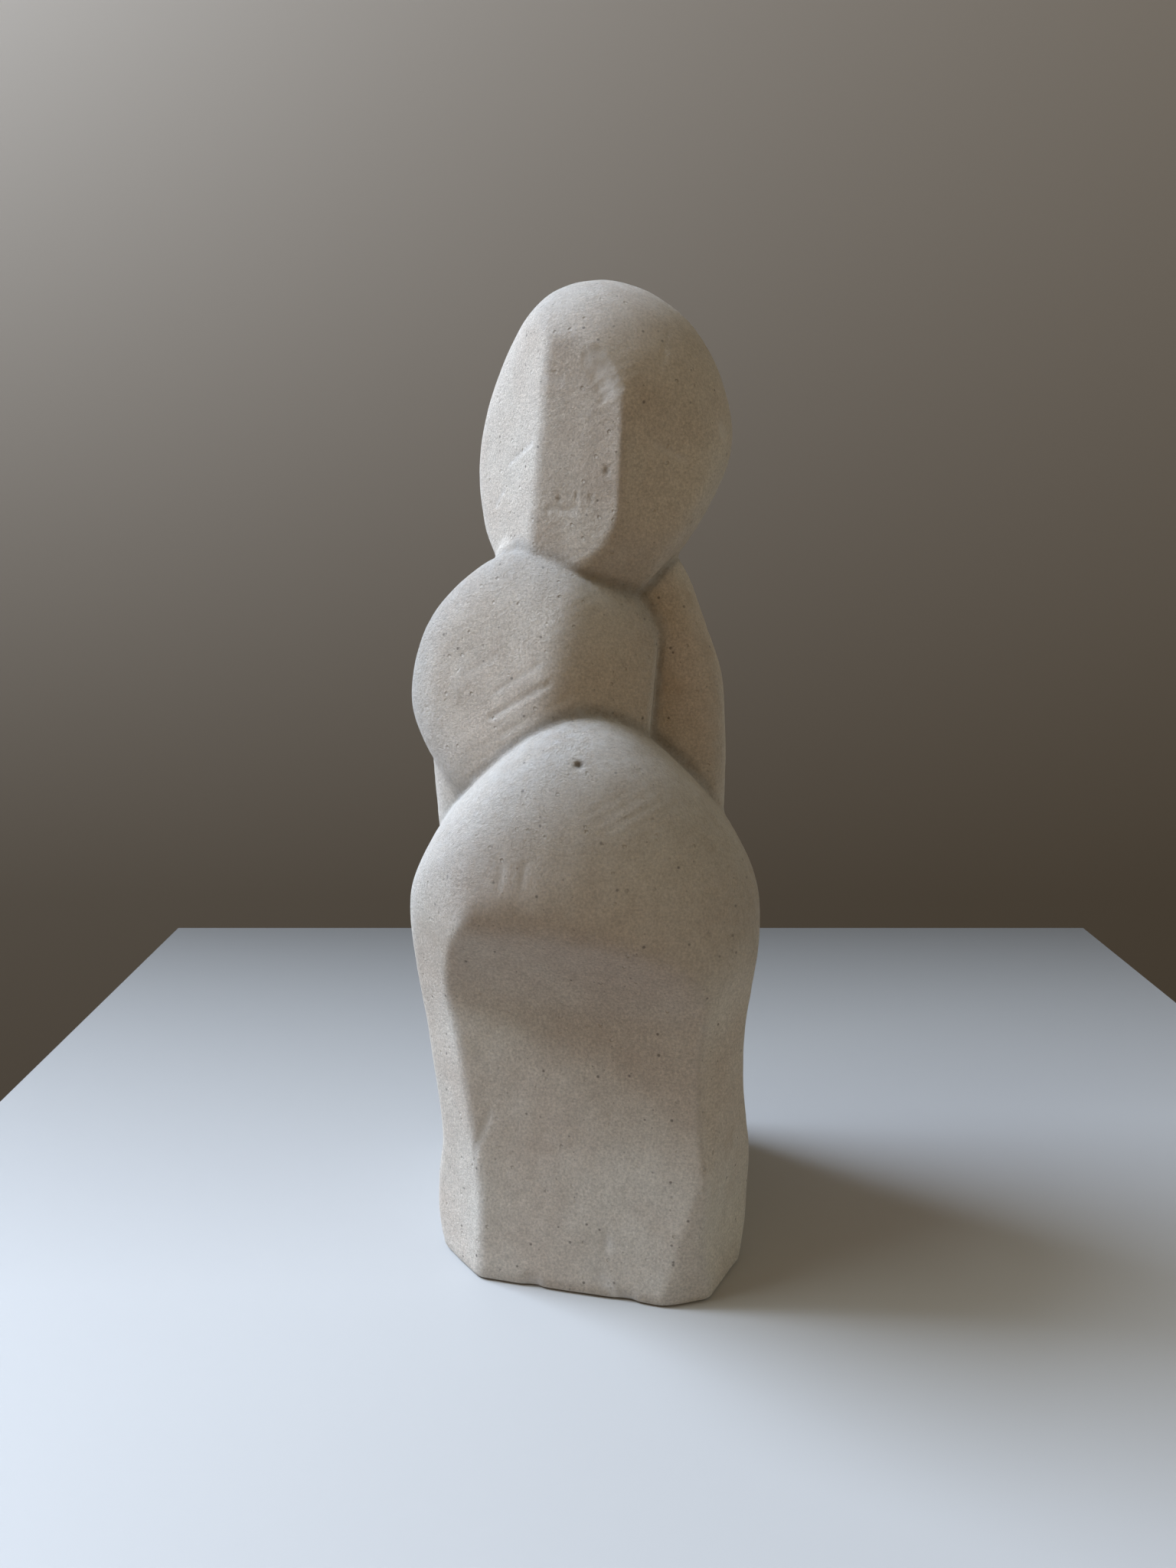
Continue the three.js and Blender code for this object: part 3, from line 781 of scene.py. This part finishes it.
# %% A plain matt material
def matt(name, axis, start, end, near_colour, far_colour, roughness=0.9):
    """A Principled shader whose colour goes evenly from one to the other between two places on an axis."""
    material = bpy.data.materials.new(name)
    material.use_nodes = True
    tree = material.node_tree
    shader = tree.nodes["Principled BSDF"]
    place = node(tree, "SeparateXYZ", {"Vector": node(tree, "TexCoord").outputs["Object"]}).outputs[axis]
    colour = blend(tree, remap(tree, place, start, end), near_colour, far_colour)
    tree.links.new(colour, shader.inputs["Base Color"])
    shader.inputs["Roughness"].default_value = roughness
    return material


# %% The board and the backdrop
BOARD_CORNERS = ((-0.250, -0.185), (0.306, 0.302))
BOARD_THICKNESS = 0.025
BACKDROP_DISTANCE = 1.3
BACKDROP_HALF = 2.4
BOARD_FRONT = (0.450, 0.450, 0.445, 1)
# The board's back colour is painted shade, so the board darkens towards its back.
BOARD_BACK_SHADE = (0.100, 0.098, 0.092, 1)
# The backdrop's low colour is painted shade, darkest near the board.
BACKDROP_LOW_SHADE = (0.110, 0.090, 0.064, 1)
BACKDROP_HIGH = (0.300, 0.265, 0.222, 1)


def box_mesh(name, low, high):
    """The eight corners of a box and its six faces, which look outwards."""
    corners = [(x, y, z) for z in (low[2], high[2]) for y in (low[1], high[1]) for x in (low[0], high[0])]
    sides = [(0, 2, 3, 1), (4, 5, 7, 6), (0, 1, 5, 4), (1, 3, 7, 5), (3, 2, 6, 7), (2, 0, 4, 6)]
    made = bpy.data.meshes.new(name)
    made.from_pydata(corners, [], sides)
    return made


def stage_box(name, low, high, material):
    """A box that is linked to the scene and given its material."""
    made = bpy.data.objects.new(name, box_mesh(name, low, high))
    made.data.materials.append(material)
    bpy.context.scene.collection.objects.link(made)


# The floor's colour is painted shade that darkens it from front to back.
stage_box(
    "floor",
    (*BOARD_CORNERS[0], -BOARD_THICKNESS), (*BOARD_CORNERS[1], 0),
    matt("pale_board", "Y", -0.05, BOARD_CORNERS[1][1], BOARD_FRONT, BOARD_BACK_SHADE, 0.55),
)
# The backdrop's colour is painted shade that is deepest low down and lightens upwards.
stage_box(
    "backdrop",
    (-BACKDROP_HALF, BACKDROP_DISTANCE, -BACKDROP_HALF / 2),
    (BACKDROP_HALF, BACKDROP_DISTANCE + BOARD_THICKNESS, BACKDROP_HALF),
    matt("warm_backdrop", "Z", -0.3, 1.2, BACKDROP_LOW_SHADE, BACKDROP_HIGH),
)
print("the board is", round(BOARD_CORNERS[1][0] - BOARD_CORNERS[0][0], 3), "m wide")

# %% [markdown]
# ## Light
#
# Soft cool light comes from the left, as from a window. Most of it comes from slightly behind the
# figure and grazes the left flats, so each ridge is a line between light and shade, and a smaller part
# comes from nearer the front and higher. A dim warm light from all round fills the shade and a faint
# one lifts the right edge. A small lamp would give hard shadows, which is why these are over a metre
# across. The plain Standard view keeps the contrast as the lights make it, where a film-like view
# would soften it.

# %% Lights: degrees round from the front, degrees up, width in metres, watts of each colour
AIM = np.array([0.0, 0.0, 0.15])
LIGHT_DISTANCE = 2.5
LIGHTS = {
    "window_far": (-108, 43, 1.2, (92, 108, 134)),
    "window_near": (-80, 50, 1.2, (19, 21, 21)),
    "right_side": (80, 20, 2.0, (9, 11, 11)),
}
FILL_COLOUR = (0.205, 0.130, 0.058, 1)


def aim_matrix(at, towards):
    """The place and turn of an object at at whose -Z points towards the given place, with Y upright."""
    turn = (Vector(towards) - Vector(at)).to_track_quat("-Z", "Y")
    return Matrix.LocRotScale(Vector(at), turn, None)


def soft_light(name, azimuth, elevation, width, watts):
    """A square area light at AIM + LIGHT_DISTANCE * outward(azimuth, elevation), which looks at AIM."""
    lamp = bpy.data.lights.new(name, "AREA")
    lamp.size = width
    lamp.energy = max(watts)
    lamp.color = [w / max(watts) for w in watts]
    placed = bpy.data.objects.new(name, lamp)
    at = AIM + LIGHT_DISTANCE * outward(azimuth, elevation)
    placed.matrix_world = aim_matrix(at, AIM)
    bpy.context.scene.collection.objects.link(placed)
    print(name, "is at", [round(float(v), 2) for v in at])


for name, settings in LIGHTS.items():
    soft_light(name, *settings)

fill = bpy.data.worlds.new("warm_fill")
fill.use_nodes = True
fill.node_tree.nodes["Background"].inputs["Color"].default_value = FILL_COLOUR
fill.node_tree.nodes["Background"].inputs["Strength"].default_value = 1.0
bpy.context.scene.world = fill
bpy.context.scene.view_settings.view_transform = "Standard"

# %% [markdown]
# ## Camera
#
# The photograph's upright edges lean together towards the foot, which happens when a camera looks down.
# The lens isn't known from the picture. It is taken to be 27 mm, as phones have, and with that the height
# of the horizon gives a pitch of 12.25 degrees. For a figure 316 mm tall the camera is then 388 mm away
# and 240 mm above the floor, which is nearly the height of the neck.

# %% The camera
CAMERA_AT = np.array([0.0, -388.0, 240.0])
PITCH_DOWN = 12.25
LENS = 27.035

lens = bpy.data.cameras.new("camera")
lens.lens = LENS
lens.sensor_width = 36.0
lens.sensor_fit = "AUTO"
lens.clip_start = 0.01
camera = bpy.data.objects.new("camera", lens)
camera.location = (CAMERA_AT - footprint_middle) * MM
camera.rotation_euler = (math.radians(90 - PITCH_DOWN), 0, 0)
bpy.context.scene.collection.objects.link(camera)
bpy.context.scene.camera = camera
print("the camera is at", [round(v, 4) for v in camera.location])
